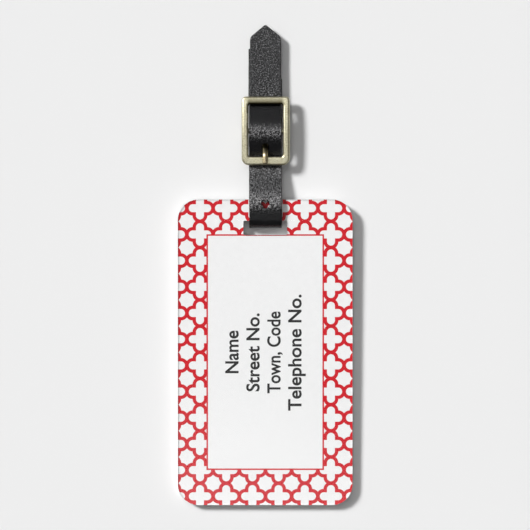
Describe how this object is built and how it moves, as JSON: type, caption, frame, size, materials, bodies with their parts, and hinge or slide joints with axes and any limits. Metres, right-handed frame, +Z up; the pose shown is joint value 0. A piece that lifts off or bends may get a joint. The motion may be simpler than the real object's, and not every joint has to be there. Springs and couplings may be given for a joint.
{
  "type": "luggage tag",
  "caption": "Flat rectangular luggage tag, a printed card under a clear sheet, hung on a narrow buckled leather strap with a pointed tip.",
  "frame": {"origin": "middle of the footprint's bounding box, on the surface the tag lies on", "axes": "+Z up out of the printed face, +Y from the tag towards the strap's tip, +X to the right as the face is seen with the strap at the top"},
  "size_m": [0.0508, 0.1397, 0.0065],
  "materials": {
    "leather": "black grained leather, dark painted edges",
    "thread": "waxed black thread",
    "antique_brass": "antique brass, brushed, dark in the recesses",
    "white_plate": "white rigid plastic sheet, polished edges",
    "clear_sheet": "clear polished acrylic",
    "printed_card": "white card with a red lattice print"
  },
  "bodies": {
    "root": {"strap": "leather", "strap_stitching": "thread"},
    "buckle": {"buckle_frame": "antique_brass", "buckle_centre_bar": "antique_brass"},
    "tongue": {"buckle_tongue": "antique_brass"},
    "tag": {"tag_back_plate": "white_plate", "tag_print_card": "printed_card", "tag_front_cover": "clear_sheet"}
  },
  "joints": [
    {"name": "buckle_rock", "type": "hinge", "parent": "root", "child": "buckle", "pos_m": [0, 0.03894, 0.0033], "axis": [1, 0, 0], "range_deg": [-1.5, 1.5]},
    {"name": "tongue_lift", "type": "hinge", "parent": "buckle", "child": "tongue", "pos_m": [0, 0.03894, 0.0033], "axis": [-1, 0, 0], "range_deg": [0, 3]},
    {"name": "tag_swing", "type": "hinge", "parent": "root", "child": "tag", "pos_m": [0, 0.0112, 0.0026], "axis": [0, 0, 1], "range_deg": [-5, 5]}
  ]
}
